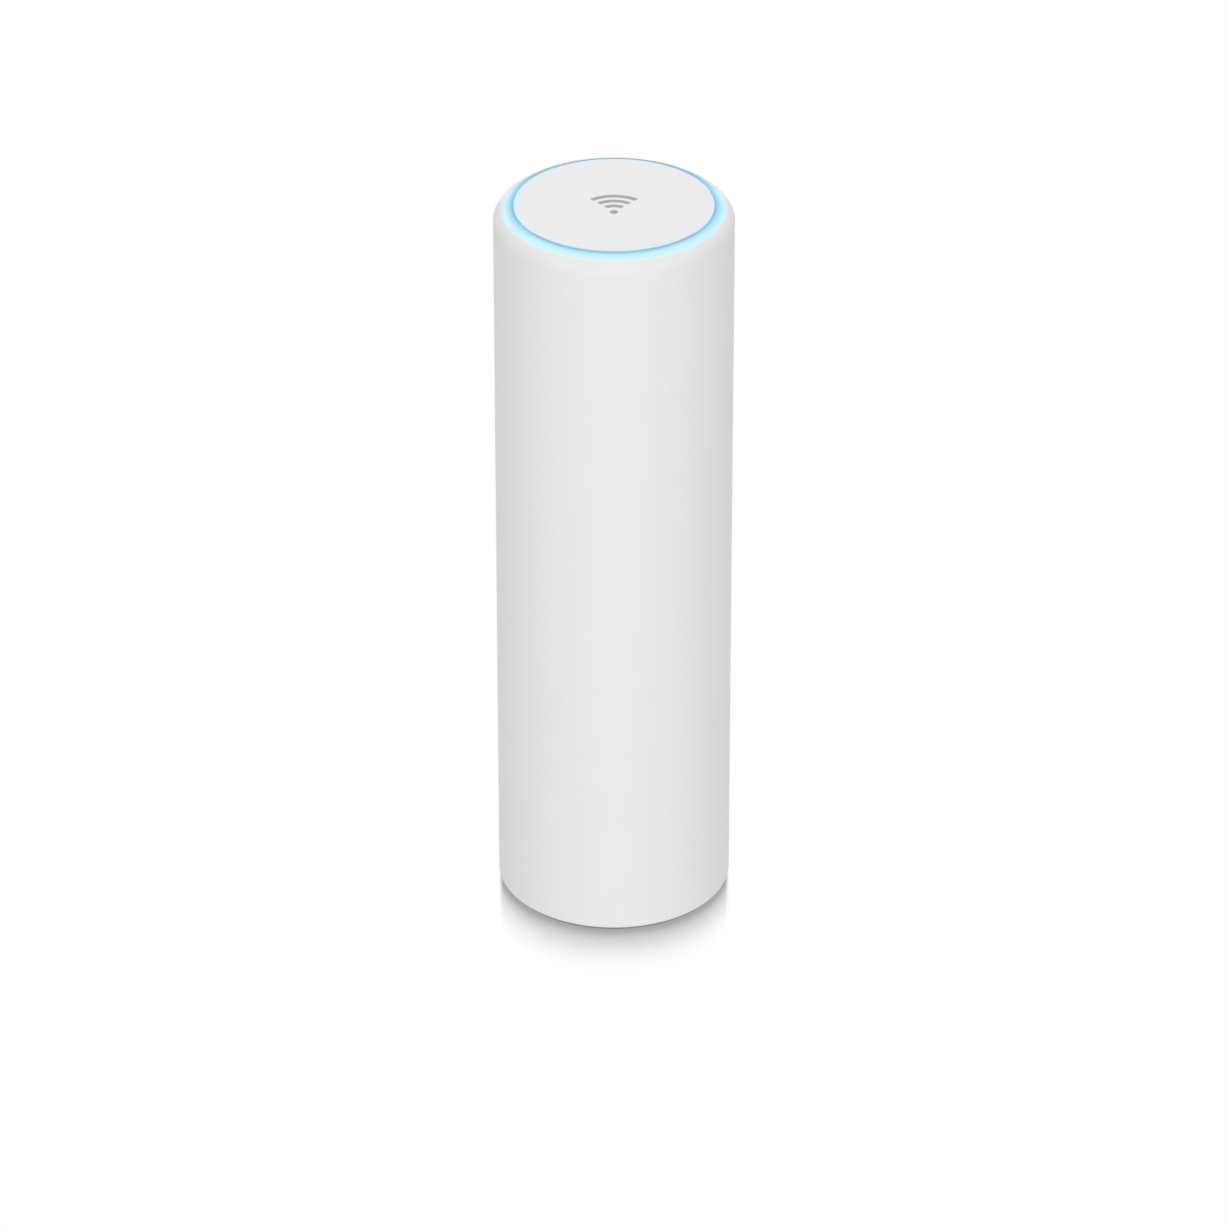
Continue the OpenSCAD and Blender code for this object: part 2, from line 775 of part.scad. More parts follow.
module power_inductor() {
  color(grey) {
    on_front(inductor_x, lan_z + (lan_size[2] - inductor_w) / 2, [inductor_w, inductor_base, inductor_w]);
    translate([inductor_x, board_y, lan_z + lan_size[2] / 2]) rotate([90, 0, 0])
      cylinder(d = inductor_w - 0.6, h = inductor_base + inductor_h);
  }
}

// ---------------------------------------------------------------- jack and reset

module jack_shield() {
  color(steel) difference() {
    block(0, jack_mid - jack_d / 2, jack_z, jack_w, jack_d, jack_len);
    block(0, jack_mid - jack_d / 2 + jack_skin, jack_z - 1,
      jack_w - 2 * jack_skin, jack_d - 2 * jack_skin, jack_len - jack_skin + 1);
    // Rear window over the solder tails
    block(0, board_y - 1, jack_z + jack_len * 0.6, jack_w - 4, 3, jack_len);
  }
}

module jack_housing() {
  skin = jack_skin + 0.05;
  color(black) difference() {
    block(0, jack_mid - jack_d / 2 + skin, jack_z + 0.2,
      jack_w - 2 * skin, jack_d - 2 * skin, jack_len - jack_skin - 0.3);
    block(0, socket_y - socket_d / 2, jack_z - 1, socket_w, socket_d, socket_len + 1);
    block(0, socket_y - socket_d / 2 - latch_d + 0.1, jack_z - 1, latch_w, latch_d, socket_len - 2);
    // Slots that hold the contacts apart
    for (i = [0 : 7]) block((i - 3.5) * pin_pitch, socket_y + socket_d / 2 - 0.1, jack_z + 1.5,
      pin_w + gap, 1.3, socket_len);
  }
}

// Eight spring contacts: a straight leg in its slot and a leaf that slants into the socket
module jack_contacts() {
  leg = 0.45;
  back_y = socket_y + socket_d / 2 + 1.1;
  color([0.95, 0.75, 0.25]) for (i = [0 : 7]) {
    x = (i - 3.5) * pin_pitch;
    block(x, back_y - leg, jack_z + 2.2, pin_w, leg, socket_len - 1.2);
    translate([x - pin_w / 2, back_y - leg, jack_z + 2.2]) rotate([24, 0, 0])
      cube([pin_w, leg, 6.5]);
  }
}

module jack_seal() {
  color(grey) difference() {
    block(0, jack_mid - jack_d / 2 - seal_t, bay_h, jack_w + 2 * seal_t, jack_d + 2 * seal_t, ceil_t);
    block(0, jack_mid - jack_d / 2, bay_h - 1, jack_w, jack_d, ceil_t + 2);
  }
}

module reset_switch() {
  color(black) difference() {
    block(reset_x, reset_y - 2.4, switch_z, switch_w, board_y - reset_y + 2.4, switch_h);
    translate([reset_x, reset_y, switch_z - 1])
      cylinder(r = stem_r + gap, h = 1 + stem_in + reset_travel + gap);
  }
}

module switch_stem() {
  color([0.8, 0.25, 0.2]) translate([reset_x, reset_y, stem_z]) cylinder(r = stem_r, h = stem_len);
}

module reset_button() {
  color(grey) translate([reset_x, reset_y, 0]) {
    translate([0, 0, bay_h - 0.8]) cylinder(r = reset_r, h = ceil_t + 0.8);
    translate([0, 0, ceil_top]) cylinder(r = reset_flange_r, h = reset_flange_t);
  }
}

// ---------------------------------------------------------------- chassis and stand

// Cup that closes the sleeve from below: its floor is the ceiling of the port bay
module chassis() {
  color(white) difference() {
    union() {
      translate([0, 0, chassis_z]) tube(chassis_r, bay_r, ceil_top - chassis_z);
      translate([0, 0, bay_h]) cylinder(r = chassis_r, h = ceil_t);
      for (x = [-1, 1]) translate([x * sink_screw_x, sink_mid, ceil_top - 1])
        cylinder(r = screw_boss, h = sink_z - ceil_top + 1);
      for (a = lug_angles) {
        open = a + twist;
        arc_bar(ledge_r, bay_r + chassis_wall / 2, ledge_z, ledge_t, open + ledge_gap / 2, 120 - ledge_gap);
        arc_bar(ledge_r + run, bay_r + chassis_wall / 3, ledge_z + ledge_t / 2, ledge_t / 2 + lug_t + run,
          a - lug_span / 2 - 1 - stop_span, stop_span);
      }
    }
    // Ring groove for the seal
    translate([0, 0, chassis_seal_z - seal_r - gap])
      tube(chassis_r + 1, inner_r - 2 * seal_r, 2 * (seal_r + gap));
    block(0, jack_mid - jack_d / 2 - seal_t, bay_h - 1, jack_w + 2 * seal_t, jack_d + 2 * seal_t, ceil_t + 2);
    translate([reset_x, reset_y, bay_h - 1]) cylinder(r = reset_r + gap, h = ceil_t + 2);
    translate([0, 0, bay_h - 1]) around(chassis_screw_at, chassis_screw_angles) cylinder(r = m3_pass, h = ceil_t + 2);
    for (x = [-1, 1]) translate([x * sink_screw_x, sink_mid, bay_h - 1]) cylinder(r = m3_pass, h = sink_z - bay_h + 2);
    cable_way(cable_w + 1, cable_h + 0.2);
  }
}

module chassis_seal() {
  color(black) rotate_extrude() translate([inner_r - seal_r, chassis_seal_z]) circle(seal_r - 0.01);
}

module chassis_screws() {
  color(steel) translate([0, 0, bay_h]) around(chassis_screw_at, chassis_screw_angles)
    screw_from_below(m3, ceil_t + m3_grip, m3_head);
}

module sink_screws() {
  color(steel) for (x = [-1, 1]) translate([x * sink_screw_x, sink_mid, bay_h])
    screw_from_below(m3, sink_z - bay_h + m3_grip, m3_head);
}

module foot_shape(side) {
  tube(foot_r + foot_w / 2 + side, foot_r - foot_w / 2 - side, foot_t);
}

// Ring that turns into the chassis: the port stays open through its middle
module stand_base() {
  color(white) difference() {
    union() {
      translate([0, 0, plate_z]) tube(plate_r, base_bore_d / 2, base_t);
      translate([0, 0, plate_top - 1]) tube(collar_r, collar_r - collar_t, lug_z + lug_t - plate_top + 1);
      for (a = lug_angles) arc_bar(collar_r - collar_t / 2, lug_r, lug_z, lug_t, a - lug_span / 2, lug_span);
    }
    foot_shape(gap / 2);
    cable_way(cable_w, cable_h);
    for (a = lug_angles) rotate([0, 0, a]) translate([base_holes_pcd / 2, 0, 0]) {
      cylinder(d = base_hole_d, h = plate_top + 1);
      translate([0, 0, plate_top - countersink])
        cylinder(d1 = base_hole_d, d2 = base_hole_d + 2 * (countersink + 0.1), h = countersink + 0.1);
    }
    // Finger dimples for turning the base
    for (a = [0, 180]) rotate([0, 0, a]) translate([(base_bore_d + base_holes_pcd) / 4, 0, plate_z]) {
      for (y = [-1, 1]) translate([0, y * dimple_len / 2, -1]) cylinder(r = dimple_r, h = 1 + dimple_depth);
      translate([-dimple_r, -dimple_len / 2, -1]) cube([2 * dimple_r, dimple_len, 1 + dimple_depth]);
    }
  }
}

module foot_ring() {
  color(grey) difference() {
    foot_shape(0);
    translate([-cable_w / 2 - 1, 0, -1]) cube([cable_w + 2, body_r, foot_t + 2]);
  }
}

// ---------------------------------------------------------------- nodes

outer_sleeve();
top_cap();
light_ring();
ring_seal();
led_carrier();
led_board();
leds();
cap_screws();
carrier_screws();
led_flex();
flex_connector();
antenna_drum();
antenna(0);  // antenna_2g_front
antenna(1);  // antenna_2g_rear
antenna(2);  // antenna_5g_right
antenna(3);  // antenna_5g_left
antenna(4);  // antenna_5g_back_right
antenna(5);  // antenna_5g_back_left
antenna_traces();
coax_leads();
coax_plugs();
drum_screws();
heat_sink();
main_board();
processor();
memory_chips();
radio_chips();
thermal_pads();
shield_can(can_bottoms[1]);  // shield_upper
shield_can(can_bottoms[0]);  // shield_lower
frontend_chips();
transformer_core();
transformer_bobbin();
lan_transformer();
bulk_capacitors();
power_inductor();
board_screws();
jack_shield();
jack_housing();
jack_contacts();
jack_seal();
reset_switch();
switch_stem();
reset_button();
sink_screws();
chassis();
chassis_seal();
chassis_screws();
stand_base();
foot_ring();
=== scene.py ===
"""Mesh wifi node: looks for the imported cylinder, its lit ring and the port bay under it. Metres."""

import json
import math

import bmesh
import bpy
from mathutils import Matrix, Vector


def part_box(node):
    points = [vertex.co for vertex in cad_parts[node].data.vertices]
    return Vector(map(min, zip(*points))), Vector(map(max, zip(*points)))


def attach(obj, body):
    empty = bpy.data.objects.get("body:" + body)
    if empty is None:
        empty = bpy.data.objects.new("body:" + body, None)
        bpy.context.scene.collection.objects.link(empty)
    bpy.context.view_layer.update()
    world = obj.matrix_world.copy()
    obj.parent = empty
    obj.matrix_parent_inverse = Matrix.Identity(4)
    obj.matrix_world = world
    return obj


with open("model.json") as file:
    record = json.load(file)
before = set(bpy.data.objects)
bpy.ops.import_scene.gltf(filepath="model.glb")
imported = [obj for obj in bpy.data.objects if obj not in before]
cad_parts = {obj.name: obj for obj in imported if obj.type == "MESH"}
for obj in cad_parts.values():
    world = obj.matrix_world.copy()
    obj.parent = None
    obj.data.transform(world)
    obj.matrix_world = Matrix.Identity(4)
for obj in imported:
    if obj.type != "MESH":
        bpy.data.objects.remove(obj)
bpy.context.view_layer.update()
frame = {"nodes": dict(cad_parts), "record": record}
NODES = frame["nodes"]
MM = 0.001

# Sizes that the looks take from the frame. The cap's top is the top of the tower.
_, cap_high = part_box("top_cap")
_, sleeve_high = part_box("outer_sleeve")
CAP_R = cap_high.x
HEIGHT = cap_high.z
BODY_R = sleeve_high.x
# The ring that shows, from the cap out to the sleeve's lip
RING_WIDTH = 3.1 * MM
RING_OUT = CAP_R + RING_WIDTH


def srgb(red, green, blue):
    """Linear colour of an sRGB triple given in 0 to 255."""
    def linear(value):
        value /= 255
        return value / 12.92 if value <= 0.04045 else ((value + 0.055) / 1.055) ** 2.4
    return (linear(red), linear(green), linear(blue), 1.0)


# ---------------------------------------------------------------- node helpers

# A noise texture's values mostly lie between these
NOISE_LOW = 0.3
NOISE_HIGH = 0.7


class Tree:
    """A node tree, with short calls for the nodes that the finishes and the sky share."""

    def __init__(self, tree):
        self.tree = tree

    def add(self, kind, **values):
        node = self.tree.nodes.new(kind)
        for name, value in values.items():
            setattr(node, name, value)
        return node

    def link(self, source, target):
        self.tree.links.new(source, target)

    def math(self, operation, a, b=0.0, clamp=False):
        node = self.add("ShaderNodeMath", operation=operation, use_clamp=clamp)
        for socket, value in zip(node.inputs, (a, b)):
            if isinstance(value, (int, float)):
                socket.default_value = value
            else:
                self.link(value, socket)
        return node.outputs[0]

    def split(self, vector):
        """A vector's x, y and z as three sockets."""
        node = self.add("ShaderNodeSeparateXYZ")
        self.link(vector, node.inputs[0])
        return tuple(node.outputs)

    def either(self, factor, first, second):
        """The first shader where factor is 0, the second where it is 1."""
        node = self.add("ShaderNodeMixShader")
        for source, socket in zip((factor, first, second), node.inputs):
            self.link(source, socket)
        return node.outputs[0]

    def is_any(self, *kinds):
        """1 for a ray of one of these kinds, 0 for any other."""
        path = self.add("ShaderNodeLightPath")
        total = path.outputs[kinds[0]]
        for kind in kinds[1:]:
            total = self.math("MAXIMUM", total, path.outputs[kind])
        return total


class Shader(Tree):
    """A material's node tree, with the nodes that finishes are made of."""

    def __init__(self, name):
        self.material = bpy.data.materials.new(name)
        self.material.use_nodes = True
        super().__init__(self.material.node_tree)
        self.bsdf = self.tree.nodes["Principled BSDF"]
        self.place = self.add("ShaderNodeTexCoord").outputs["Object"]

    def set(self, **values):
        """Sets the BSDF's own sockets, with underscores for spaces."""
        for name, value in values.items():
            self.bsdf.inputs[name.replace("_", " ")].default_value = value
        return self

    def noise(self, size, detail=2.0, roughness=0.5, place=None):
        node = self.add("ShaderNodeTexNoise")
        node.inputs["Scale"].default_value = 1 / size
        node.inputs["Detail"].default_value = detail
        node.inputs["Roughness"].default_value = roughness
        self.link(place or self.place, node.inputs["Vector"])
        return node.outputs["Fac"]

    def spread(self, value, low, high, to_low, to_high, smooth=False):
        """The value's span from low to high, laid over the span from to_low to to_high."""
        node = self.add("ShaderNodeMapRange", interpolation_type="SMOOTHSTEP" if smooth else "LINEAR")
        for name, number in (("From Min", low), ("From Max", high), ("To Min", to_low), ("To Max", to_high)):
            node.inputs[name].default_value = number
        self.link(value, node.inputs["Value"])
        return node.outputs["Result"]

    def rise(self, value, low, high):
        """0 up to low and 1 from high on, with a smooth step between them."""
        return self.spread(value, low, high, 0.0, 1.0, smooth=True)

    def mix(self, factor, a, b):
        """The first colour where factor is 0, the second where it is 1."""
        node = self.add("ShaderNodeMix", data_type="RGBA")
        self.link(factor, node.inputs["Factor"])
        for name, value in (("A", a), ("B", b)):
            socket = next(s for s in node.inputs if s.name == name and s.type == "RGBA")
            if isinstance(value, tuple):
                socket.default_value = value
            else:
                self.link(value, socket)
        return next(s for s in node.outputs if s.type == "RGBA")

    def ramp(self, value, stops):
        node = self.add("ShaderNodeValToRGB")
        elements = node.color_ramp.elements
        while len(elements) < len(stops):
            elements.new(0.5)
        for element, (position, colour) in zip(elements, stops):
            element.position = position
            element.color = colour
        self.link(value, node.inputs["Fac"])
        return node.outputs["Color"]

    def axes(self):
        """The object's x, y and z as three sockets."""
        return self.split(self.place)

    def radius(self):
        """Distance from the tower's axis."""
        x, y, _ = self.axes()
        squares = self.math("ADD", self.math("MULTIPLY", x, x), self.math("MULTIPLY", y, y))
        return self.math("SQRT", squares)

    def mapped(self, setting, values):
        """The object's coordinates, turned or scaled by one setting of a Mapping node."""
        node = self.add("ShaderNodeMapping")
        node.inputs[setting].default_value = values
        self.link(self.place, node.inputs["Vector"])
        return node.outputs[0]

    def bump(self, height, depth, strength=1.0):
        node = self.add("ShaderNodeBump")
        node.inputs["Distance"].default_value = depth
        node.inputs["Strength"].default_value = strength
        self.link(height, node.inputs["Height"])
        self.link(node.outputs["Normal"], self.bsdf.inputs["Normal"])

    def paint(self, colour):
        self.link(colour, self.bsdf.inputs["Base Color"])

    def painted(self):
        """The socket that gives the base colour now."""
        return self.bsdf.inputs["Base Color"].links[0].from_socket

    def tint(self, colour, change, size):
        """Base colour that drifts a little, darker and lighter, over patches of one size."""
        dark = tuple(c * (1 - change) for c in colour[:3]) + (1.0,)
        light = tuple(min(1.0, c * (1 + change)) for c in colour[:3]) + (1.0,)
        self.paint(self.mix(self.noise(size), dark, light))

    def rough(self, low, high, size):
        """Roughness that drifts from low to high over patches of one size."""
        patches = self.noise(size, detail=3.0)
        self.link(self.spread(patches, NOISE_LOW, NOISE_HIGH, low, high), self.bsdf.inputs["Roughness"])

    def glow(self, colour):
        """Light of this colour, at a strength that is the same all over."""
        self.link(colour, self.bsdf.inputs["Emission Color"])
        self.set(Emission_Strength=1.0)

    def glow_where(self, share, colour, strength):
        """Light of one colour, as strong as the share says at each place."""
        self.set(Emission_Color=colour)
        self.link(self.math("MULTIPLY", share, strength), self.bsdf.inputs["Emission Strength"])

    def towards_back(self, start, end):
        """0 in front of start and 1 behind end, which are places along y in radii of the cap."""
        _, y, _ = self.axes()
        return self.rise(y, start * CAP_R, end * CAP_R)


# ---------------------------------------------------------------- finishes of what the photo shows

WHITE = (0.84, 0.84, 0.845, 1.0)
# The cap is painted a little whiter than the sleeve, to brighten its top in place of light from above
CAP_WHITE = (0.885, 0.885, 0.89, 1.0)
NO_LIGHT = (0.0, 0.0, 0.0, 1.0)


def moulded(name, colour, roughness=0.5, grain=0.12 * MM, depth=0.006 * MM):
    """Injection-moulded plastic with a fine eroded grain."""
    shader = Shader(name).set(Specular_IOR_Level=0.3)
    shader.tint(colour, change=0.012, size=18 * MM)
    shader.rough(roughness - 0.03, roughness + 0.05, size=1.2 * MM)
    shader.bump(shader.noise(size=grain, detail=3.0, roughness=0.6), depth)
    return shader


# Painted light from the ring on the sleeve's lip: a cyan tint in its colour and a faint glow, down to LIP_LOW
# and out to LIP_OUT
LIP_PAINTED_CYAN = (0.76, 0.84, 0.845, 1.0)
LIP_PAINTED_GLOW = (0.0, 0.11, 0.15, 1.0)
LIP_LOW = HEIGHT - 4 * MM
LIP_OUT = RING_OUT + 1.5 * MM
# The rounded shoulder behind the ring is brightened with a painted glow. The glow sets in over these radii,
# over these heights and over these places towards the back.
SHOULDER_PAINTED_GLOW = (0.155, 0.145, 0.135, 1.0)
SHOULDER_SPAN = (RING_OUT + 0.2 * MM, RING_OUT + 1.6 * MM)
SHOULDER_RISE = (HEIGHT - 5.5 * MM, HEIGHT - 3 * MM)
SHOULDER_BEHIND = (0.1, 0.4)


def sleeve_finish():
    """White tube with the ring's light painted on: cyan on its lip, and a glow on the shoulder behind the
    ring.
    """
    shader = moulded("sleeve_white", WHITE)
    radius = shader.radius()
    _, _, z = shader.axes()
    fade = shader.spread(radius, RING_OUT, LIP_OUT, 1.0, 0.0, smooth=True)
    # Painted light: the lip's colour turns cyan near the ring, and the lip glows though it is no lamp
    lip = shader.math("MULTIPLY", fade, shader.math("GREATER_THAN", z, LIP_LOW))
    shader.paint(shader.mix(lip, shader.painted(), LIP_PAINTED_CYAN))
    # Painted glow on the shoulder behind the ring, standing in for light that no lamp gives
    shoulder = shader.math("MULTIPLY", shader.rise(radius, *SHOULDER_SPAN), shader.rise(z, *SHOULDER_RISE))
    behind = shader.math("MULTIPLY", shader.towards_back(*SHOULDER_BEHIND), shoulder)
    shader.glow(shader.mix(behind, shader.mix(lip, NO_LIGHT, LIP_PAINTED_GLOW), SHOULDER_PAINTED_GLOW))
    return shader.material


# Radii over which the ring's blue light is painted on the cap's rim, and over which its rounded edge gets
# painted shade
RIM_PAINTED_BLUE = (0.78, 0.84, 0.88, 1.0)
RIM_PAINTED_GLOW = (0.0, 0.5, 1.0, 1.0)
RIM_STRENGTH = 0.13
RIM = (CAP_R - 2.2 * MM, CAP_R - 0.35 * MM)
EDGE_PAINTED_SHADE = (0.41, 0.56, 0.7, 1.0)
EDGE = (CAP_R - 0.26 * MM, CAP_R - 0.08 * MM)
# The painted shade on the edge narrows from the front to the sides, and widens again towards the back
EDGE_NARROWER = 0.18 * MM
EDGE_NARROWS = (-0.78, -0.45)
EDGE_WIDER = 0.25 * MM
EDGE_WIDENS = (0.2, 0.7)


def cap_finish():
    """White cap: the ring's blue light is painted on its rim, and painted shade on the rounded edge over the
    gap.
    """
    shader = moulded("cap_white", CAP_WHITE)
    radius = shader.radius()
    rim = shader.rise(radius, *RIM)
    narrower = shader.math("MULTIPLY", shader.towards_back(*EDGE_NARROWS), EDGE_NARROWER)
    wider = shader.math("MULTIPLY", shader.towards_back(*EDGE_WIDENS), EDGE_WIDER)
    inset = shader.math("ADD", shader.math("SUBTRACT", radius, narrower), wider)
    shade = shader.spread(inset, *EDGE, 0.0, 1.0)
    # Painted light and shade: blue from the ring on the rim, then a darker colour on the rounded edge
    painted_rim = shader.mix(rim, shader.painted(), RIM_PAINTED_BLUE)
    shader.paint(shader.mix(shade, painted_rim, EDGE_PAINTED_SHADE))
    # The rim's painted glow, kept off the painted shade
    above = shader.math("MULTIPLY", rim, shader.math("SUBTRACT", 1.0, shade))
    shader.glow_where(above, RIM_PAINTED_GLOW, RIM_STRENGTH)
    return shader.material


# The ring's colours from the cap, at 0, out to the sleeve, at 1
# The darker first stop of each set is painted shade, where the cap's edge shades the ring's inner edge
RING_AT_FRONT = (
    (0.0, srgb(140, 188, 212)), (0.14, srgb(160, 212, 232)), (0.4, srgb(180, 232, 246)),
    (0.75, srgb(199, 237, 245)), (1.0, srgb(205, 233, 241)),
)
RING_AT_SIDES = (
    (0.0, srgb(120, 166, 199)), (0.14, srgb(130, 184, 218)), (0.4, srgb(151, 208, 240)),
    (0.75, srgb(184, 228, 249)), (1.0, srgb(206, 234, 246)),
)
# The grey band from 0.46 on, in the back and rear sets, is a painted shadow line behind the cap
RING_AT_BACK_PAINTED_SHADE = (
    (0.0, srgb(118, 164, 196)), (0.14, srgb(138, 186, 216)), (0.34, srgb(140, 181, 208)),
    (0.46, srgb(119, 143, 163)), (0.7, srgb(145, 168, 187)), (0.9, srgb(184, 205, 218)),
    (1.0, srgb(212, 231, 241)),
)
RING_AT_REAR_PAINTED_SHADE = (
    (0.0, srgb(118, 164, 196)), (0.14, srgb(138, 186, 216)), (0.34, srgb(138, 177, 203)),
    (0.46, srgb(109, 132, 150)), (0.9, srgb(146, 169, 186)), (1.0, srgb(184, 205, 218)),
)
# The places between which each set of colours takes over from the one in front of it
RING_CHANGES = (
    (-0.9, 0.1, RING_AT_SIDES),
    (0.2, 0.8, RING_AT_BACK_PAINTED_SHADE),
    (0.84, 1.0, RING_AT_REAR_PAINTED_SHADE),
)
RING_UNLIT = (0.03, 0.05, 0.06, 1.0)
# How far the frosting shifts the colours, as a share of the ring's width
FROST = 0.02


def ring_finish():
    """Frosted diffuser lit from below: blue by the cap, pale at the sleeve, paler in front, with painted
    shade lines.
    """
    shader = Shader("ring_diffuser").set(Base_Color=RING_UNLIT, Roughness=0.45, Specular_IOR_Level=0.2)
    across = shader.spread(shader.radius(), CAP_R, RING_OUT, 0.0, 1.0)
    frost = shader.spread(shader.noise(size=0.5 * MM, detail=3.0), 0.0, 1.0, -FROST, FROST)
    place = shader.math("ADD", across, frost, clamp=True)
    colour = shader.ramp(place, RING_AT_FRONT)
    for start, end, stops in RING_CHANGES:
        colour = shader.mix(shader.towards_back(start, end), colour, shader.ramp(place, stops))
    shader.glow(colour)
    shader.bump(shader.noise(size=0.15 * MM), depth=0.004 * MM)
    return shader.material


def ink_finish():
    """Grey print, a little matt."""
    shader = Shader("mark_ink").set(Specular_IOR_Level=0.3)
    shader.tint(srgb(168, 169, 171), change=0.03, size=1.5 * MM)
    shader.rough(0.45, 0.6, size=0.4 * MM)
    shader.bump(shader.noise(size=0.1 * MM), depth=0.003 * MM)
    return shader.material


# ---------------------------------------------------------------- finishes of what is inside or underneath

# Light from the ring is painted on its seal as a glow above this height, this strongly
SEAL_LOW = HEIGHT - 6 * MM
SEAL_PAINTED_GLOW = 0.9
# A board's bricks are half of this unit wide and a quarter of it high. The tracks between them take this
# share of it from each side of a brick, and the bricks vary down to this share of the mask's colour.
BRICK_UNIT = 2.4 * MM
TRACK_SHARE = 0.05
DARKEST_BRICK = 0.85


def metal(name, colour, roughness, brushed=None):
    """Metal with a fine grain, which brushed squeezes along an axis into streaks that lie across it."""
    shader = Shader(name).set(Metallic=1.0)
    shader.tint(colour, change=0.05, size=2 * MM)
    place = shader.mapped("Scale", brushed) if brushed else shader.place
    streaks = shader.noise(size=0.3 * MM, detail=4.0, roughness=0.6, place=place)
    drift = shader.spread(streaks, NOISE_LOW, NOISE_HIGH, roughness - 0.07, roughness + 0.1)
    shader.link(drift, shader.bsdf.inputs["Roughness"])
    shader.bump(streaks, depth=0.004 * MM, strength=0.5)
    return shader.material


def rubber(name, colour):
    """Matt rubber or silicone with a fine rough skin."""
    shader = Shader(name).set(Specular_IOR_Level=0.25)
    shader.tint(colour, change=0.08, size=3 * MM)
    shader.rough(0.7, 0.85, size=0.8 * MM)
    shader.bump(shader.noise(size=0.25 * MM, detail=4.0, roughness=0.7), depth=0.02 * MM)
    return shader


def seal_finish():
    """Black rubber. The light ring's shine on its own seal, down in the gap beside the sleeve, is a painted
    glow.
    """
    shader = rubber("seal_black", srgb(26, 26, 28))
    _, _, z = shader.axes()
    _, ring_edge = RING_AT_SIDES[-1]
    shader.glow_where(shader.math("GREATER_THAN", z, SEAL_LOW), ring_edge, SEAL_PAINTED_GLOW)
    return shader.material


def board(name, mask, track):
    """Solder mask over copper: the tracks are slightly raised lines in another shade, laid like brickwork."""
    shader = Shader(name).set(Specular_IOR_Level=0.5, Coat_Weight=0.3)
    bricks = shader.add("ShaderNodeTexBrick")
    bricks.inputs["Scale"].default_value = 1 / BRICK_UNIT
    bricks.inputs["Mortar Size"].default_value = TRACK_SHARE
    bricks.inputs["Color1"].default_value = mask
    bricks.inputs["Color2"].default_value = tuple(c * DARKEST_BRICK for c in mask[:3]) + (1.0,)
    bricks.inputs["Mortar"].default_value = track
    upright = (math.radians(90), 0, 0)
    shader.link(shader.mapped("Rotation", upright), bricks.inputs["Vector"])
    shader.paint(bricks.outputs["Color"])
    shader.rough(0.25, 0.4, size=1.5 * MM)
    shader.bump(bricks.outputs["Fac"], depth=0.03 * MM)
    return shader.material


def plastic(name, colour, roughness=0.5):
    """Moulded plastic of an inner piece."""
    return moulded(name, colour, roughness).material


def coarse(name, colour):
    """Moulded plastic with the deeper grain of the base and the bay."""
    return moulded(name, colour, grain=0.2 * MM, depth=0.01 * MM).material


def finishes():
    """One material for each of the record's slots."""
    silver = srgb(200, 202, 205)
    gold = srgb(235, 200, 110)
    ferrite = moulded("ferrite_dark", srgb(45, 45, 48), roughness=0.55, grain=0.3 * MM, depth=0.02 * MM)
    return {
        "sleeve_plastic": sleeve_finish(),
        "cap_plastic": cap_finish(),
        "ring_diffuser": ring_finish(),
        "tray_plastic": plastic("tray_white", WHITE, roughness=0.35),
        "base_plastic": coarse("base_white", (0.74, 0.74, 0.745, 1.0)),
        "chassis_plastic": coarse("chassis_white", (0.7, 0.7, 0.705, 1.0)),
        "drum_plastic": plastic("drum_grey", srgb(92, 94, 98)),
        "button_plastic": plastic("button_grey", srgb(118, 120, 124)),
        "stem_plastic": plastic("stem_red", srgb(180, 55, 45)),
        "switch_plastic": plastic("switch_black", srgb(28, 28, 30)),
        "chip_epoxy": plastic("chip_black", srgb(24, 24, 26)),
        "jack_plastic": plastic("jack_black", srgb(26, 26, 28), roughness=0.4),
        "connector_plastic": plastic("connector_cream", srgb(225, 220, 200)),
        "bobbin_plastic": plastic("bobbin_yellow", srgb(214, 170, 60), roughness=0.35),
        "led_white": plastic("led_body", srgb(240, 240, 230), roughness=0.3),
        "lead_jacket": plastic("lead_black", srgb(30, 30, 32), roughness=0.35),
        "flex_film": plastic("flex_amber", srgb(190, 115, 40), roughness=0.25),
        "ferrite": ferrite.material,
        "foot_rubber": rubber("foot_grey", srgb(112, 114, 117)).material,
        "seal_rubber": seal_finish(),
        "pad_silicone": rubber("pad_blue", srgb(150, 185, 205)).material,
        "sink_metal": metal("sink_aluminium", srgb(190, 192, 196), roughness=0.4, brushed=(1, 1, 8)),
        "screw_steel": metal("screw_zinc", silver, roughness=0.28),
        "shield_tin": metal("shield_tin", srgb(205, 205, 202), roughness=0.3, brushed=(8, 1, 1)),
        "capacitor_can": metal("capacitor_can", silver, roughness=0.25, brushed=(1, 8, 1)),
        "trace_copper": metal("trace_copper", srgb(215, 140, 95), roughness=0.3),
        "plug_gold": metal("plug_gold", gold, roughness=0.25),
        "contact_gold": metal("contact_gold", gold, roughness=0.2),
        "board_laminate": board("board_green", srgb(18, 92, 58), srgb(40, 125, 80)),
        "led_laminate": board("led_board_white", srgb(225, 226, 224), srgb(200, 202, 200)),
        "antenna_laminate": board("antenna_board", srgb(205, 198, 170), srgb(190, 182, 150)),
    }


def dress():
    """Gives each CAD node the material of its slot."""
    made = finishes()
    for part in frame["record"]["subparts"]:
        mesh = NODES[part["node"]].data
        mesh.materials.clear()
        mesh.materials.append(made[part["material_slot"]])


def added(name, data):
    """A new object, in the scene."""
    item = bpy.data.objects.new(name, data)
    bpy.context.collection.objects.link(item)
    return item


# ---------------------------------------------------------------- printed mark on the cap

# The ink stands this far above the cap and reaches as far into it
INK = 0.02 * MM
